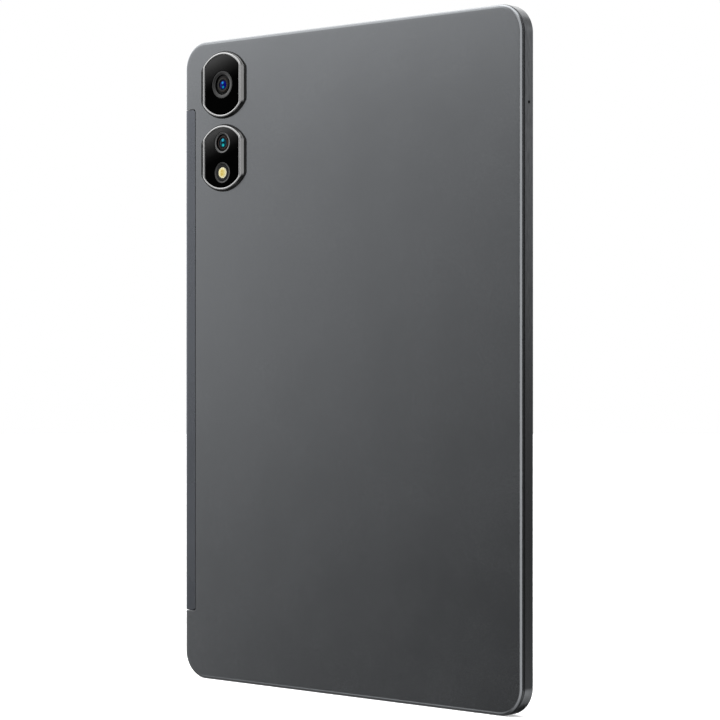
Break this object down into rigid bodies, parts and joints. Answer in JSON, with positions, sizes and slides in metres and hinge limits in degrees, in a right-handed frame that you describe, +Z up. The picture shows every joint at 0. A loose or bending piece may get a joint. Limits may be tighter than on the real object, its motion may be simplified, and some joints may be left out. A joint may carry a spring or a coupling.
{
  "type": "tablet computer",
  "caption": "Slim 11-inch tablet computer: aluminium unibody with an antenna strip, two raised camera islands, screen glass, USB-C port, keys and an ejectable card tray",
  "frame": {"origin": "centre of the bottom short edge, on the surface it stands on, mid-way through the thickness", "axes": "+X right as seen from behind, +Y out of the screen, +Z up along the long side"},
  "size_m": [0.1694, 0.0086, 0.2574],
  "materials": {
    "anodised_metal": "fine bead-blasted dark grey anodising",
    "antenna_plastic": "fine matte paint close to the metal's colour",
    "black_plastic": "matte black",
    "cover_glass": "glossy black when the screen is off",
    "camera_glass": "glossy black printed on its inner face",
    "polished_metal": "polished bright",
    "steel": "satin",
    "support_sheet": "mill finish",
    "panel_glass": "satin polariser",
    "reflector_film": "white diffuse",
    "cell_foil": "black wrapped pouch foil",
    "circuit_board": "solder mask",
    "copper_flex": "amber polyimide over copper",
    "speaker_cloth": "black woven wire",
    "main_lens": "blue anti-reflection coating",
    "second_lens": "teal anti-reflection coating",
    "flash_lens": "clear over pale yellow phosphor"
  },
  "bodies": {
    "tablet": {"rear_housing": "anodised_metal", "antenna_strip": "antenna_plastic", "display_bezel": "black_plastic", "cover_glass": "cover_glass", "lcd_panel": "panel_glass", "backlight_unit": "reflector_film", "support_plate": "support_sheet", "battery_cell_left": "cell_foil", "battery_cell_right": "cell_foil", "battery_board": "circuit_board", "main_board": "circuit_board", "sub_board": "circuit_board", "board_screw_1": "steel", "board_screw_2": "steel", "board_screw_3": "steel", "board_screw_4": "steel", "board_screw_5": "steel", "board_screw_6": "steel", "processor_shield": "steel", "radio_shield": "steel", "main_flex": "copper_flex", "display_flex": "copper_flex", "usb_c_shell": "steel", "usb_c_tongue": "black_plastic", "speaker_bottom_left": "black_plastic", "speaker_mesh_bottom_left": "speaker_cloth", "speaker_bottom_right": "black_plastic", "speaker_mesh_bottom_right": "speaker_cloth", "speaker_top_left": "black_plastic", "speaker_mesh_top_left": "speaker_cloth", "speaker_top_right": "black_plastic", "speaker_mesh_top_right": "speaker_cloth", "side_microphone": "steel", "bottom_microphone": "steel", "power_switch": "steel", "volume_up_switch": "steel", "volume_down_switch": "steel", "key_flex": "copper_flex", "card_socket": "steel", "camera_base_upper": "black_plastic", "camera_trim_upper": "polished_metal", "camera_glass_upper": "camera_glass", "camera_base_lower": "black_plastic", "camera_trim_lower": "polished_metal", "camera_glass_lower": "camera_glass", "main_lens_ring": "polished_metal", "main_camera_module": "black_plastic", "main_lens_element": "main_lens", "second_lens_ring": "polished_metal", "second_camera_module": "black_plastic", "second_lens_element": "second_lens", "flash_ring": "polished_metal", "flash_module": "reflector_film", "flash_lens": "flash_lens", "front_camera_module": "black_plastic"},
    "power_key": {"power_button": "anodised_metal"},
    "volume_key": {"volume_rocker": "anodised_metal"},
    "tray": {"card_tray": "anodised_metal"},
    "push_rod": {"eject_rod": "steel"},
    "lever": {"eject_lever": "steel"}
  },
  "joints": [
    {"name": "power_press", "type": "slide", "parent": "tablet", "child": "power_key", "axis": [0, 0, -1], "range_m": [0, 0.0003], "stiffness_N_per_m": 1500, "springref_m": -0.0002},
    {"name": "volume_rock", "type": "hinge", "parent": "tablet", "child": "volume_key", "pos_m": [-0.08255, 0.0006, 0.2035], "axis": [0, 1, 0], "range_deg": [-1.2, 1.2], "stiffness_Nm_per_rad": 0.3},
    {"name": "tray_slide", "type": "slide", "parent": "tablet", "child": "tray", "axis": [-1, 0, 0], "range_m": [0, 0.022]},
    {"name": "eject_push", "type": "slide", "parent": "tablet", "child": "push_rod", "axis": [1, 0, 0], "range_m": [0, 0.0016]},
    {"name": "eject_turn", "type": "hinge", "parent": "tablet", "child": "lever", "pos_m": [-0.0576, -0.0006, 0.0446], "axis": [0, 1, 0], "range_deg": [0, 22.92]}
  ],
  "couplings": [
    {"joint": "eject_turn", "follows": "eject_push", "rad_per_m": 250}
  ]
}
